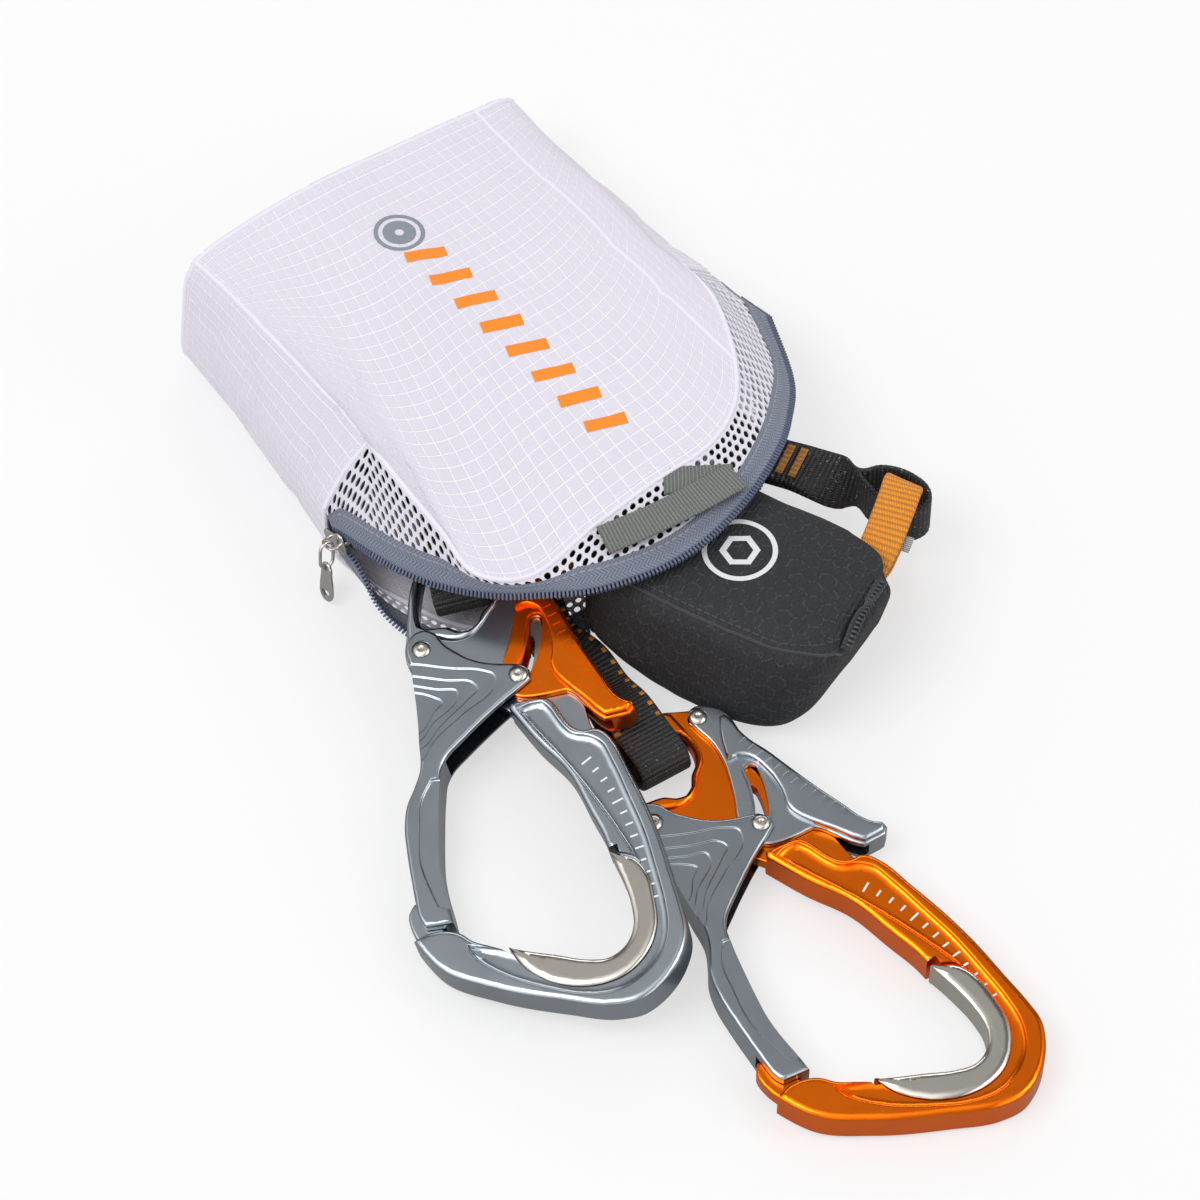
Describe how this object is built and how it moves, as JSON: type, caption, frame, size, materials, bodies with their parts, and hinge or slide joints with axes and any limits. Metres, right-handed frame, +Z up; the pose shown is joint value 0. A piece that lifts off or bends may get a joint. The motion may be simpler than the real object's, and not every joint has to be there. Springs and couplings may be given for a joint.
{
  "type": "via ferrata lanyard",
  "caption": "Via ferrata lanyard with palm-squeeze carabiners, webbing arms, an energy absorber pouch and a zipped storage bag with a mesh mouth.",
  "frame": {"origin": "on the surface that the lanyard lies on, under the middle of its bounding box", "axes": "+Z up from the surface, the thinnest way; +Y from the carabiners' tips towards the bag's far end, the longest way; +X across"},
  "size_m": [0.2498, 0.3554, 0.0471],
  "materials": {
    "white_ripstop": "coated ripstop nylon",
    "white_mesh": "knitted mesh",
    "zip_tape": "woven tape",
    "zip_coil": "moulded coil",
    "nickel": "nickel plated",
    "hang_ribbon": "flat ribbon",
    "black_webbing": "ribbed webbing",
    "orange_webbing": "ribbed webbing",
    "pouch_cloth": "hexagonal ripstop nylon",
    "grey_anodised": "grey anodised",
    "orange_anodised": "orange anodised",
    "satin_steel": "satin stainless steel"
  },
  "bodies": {
    "bag": {"bag_body": "white_ripstop", "bag_far_panel": "white_ripstop", "bag_mesh_upper": "white_mesh", "bag_mesh_lower": "white_mesh", "zip_tape_upper": "zip_tape", "zip_tape_lower": "zip_tape", "zip_teeth_upper": "zip_coil", "zip_teeth_lower": "zip_coil", "hang_loop": "hang_ribbon", "arm_a": "black_webbing", "arm_b": "black_webbing", "absorber_webbing": "black_webbing", "pouch_cover": "pouch_cloth", "pouch_zip": "zip_coil", "attachment_loop": "orange_webbing", "rest_loop": "black_webbing", "bar_tack_1": "orange_webbing", "bar_tack_2": "orange_webbing", "bar_tack_3": "orange_webbing", "loop_label": "white_mesh"},
    "carabiner_a": {"frame_a": "grey_anodised", "steel_insert_a": "satin_steel", "gate_rivet_a": "satin_steel", "lever_rivet_a": "satin_steel", "gate_spring_a": "satin_steel", "lever_spring_a": "satin_steel"},
    "gate_a": {"gate_a": "grey_anodised", "guide_pin_a": "satin_steel"},
    "lever_a": {"lever_a": "orange_anodised"},
    "carabiner_b": {"frame_b": "orange_anodised", "steel_insert_b": "satin_steel", "gate_rivet_b": "satin_steel", "lever_rivet_b": "satin_steel", "gate_spring_b": "satin_steel", "lever_spring_b": "satin_steel"},
    "gate_b": {"gate_b": "grey_anodised", "guide_pin_b": "satin_steel"},
    "lever_b": {"lever_b": "grey_anodised"},
    "zip_slider": {"zip_slider": "nickel"},
    "zip_pull": {"pull_ring": "nickel", "pull_tab": "nickel"}
  },
  "joints": [
    {"name": "carabiner_a_lift", "type": "hinge", "parent": "bag", "child": "carabiner_a", "pos_m": [-0.04073, 0.00468, 0.01711], "axis": [-0.9842, 0, -0.1772], "range_deg": [0, 12]},
    {"name": "gate_a_hinge", "type": "hinge", "parent": "carabiner_a", "child": "gate_a", "pos_m": [-0.04888, -0.02653, 0.0133], "axis": [-0.1767, -0.0736, 0.9815], "range_deg": [0, 24], "stiffness_Nm_per_rad": 0.1, "springref_deg": -11.46},
    {"name": "lever_a_hinge", "type": "hinge", "parent": "carabiner_a", "child": "lever_a", "pos_m": [-0.02367, 0.00269, 0.02003], "axis": [-0.1767, -0.0736, 0.9815], "range_deg": [-5, 0], "stiffness_Nm_per_rad": 0.05},
    {"name": "carabiner_b_swing", "type": "hinge", "parent": "bag", "child": "carabiner_b", "pos_m": [0.01295, -0.05057, 0.00883], "axis": [0.0076, -0.0185, 0.9998], "range_deg": [-3, 3]},
    {"name": "gate_b_hinge", "type": "hinge", "parent": "carabiner_b", "child": "gate_b", "pos_m": [0.01672, -0.08283, 0.0082], "axis": [0.0076, -0.0185, 0.9998], "range_deg": [0, 24], "stiffness_Nm_per_rad": 0.1, "springref_deg": -11.46},
    {"name": "lever_b_hinge", "type": "hinge", "parent": "carabiner_b", "child": "lever_b", "pos_m": [0.02972, -0.04589, 0.00879], "axis": [0.0076, -0.0185, 0.9998], "range_deg": [-5, 0], "stiffness_Nm_per_rad": 0.05},
    {"name": "zip_slide", "type": "slide", "parent": "bag", "child": "zip_slider", "axis": [0.6209, -0.7399, 0.2588], "range_m": [0, 0.004]},
    {"name": "pull_swing", "type": "hinge", "parent": "zip_slider", "child": "zip_pull", "pos_m": [-0.07822, 0.00939, 0.019], "axis": [-0.6209, 0.7399, -0.2588], "range_deg": [0, 60]}
  ],
  "couplings": [
    {"joint": "lever_a_hinge", "follows": "gate_a_hinge", "ratio": -0.2083},
    {"joint": "lever_b_hinge", "follows": "gate_b_hinge", "ratio": -0.2083}
  ]
}
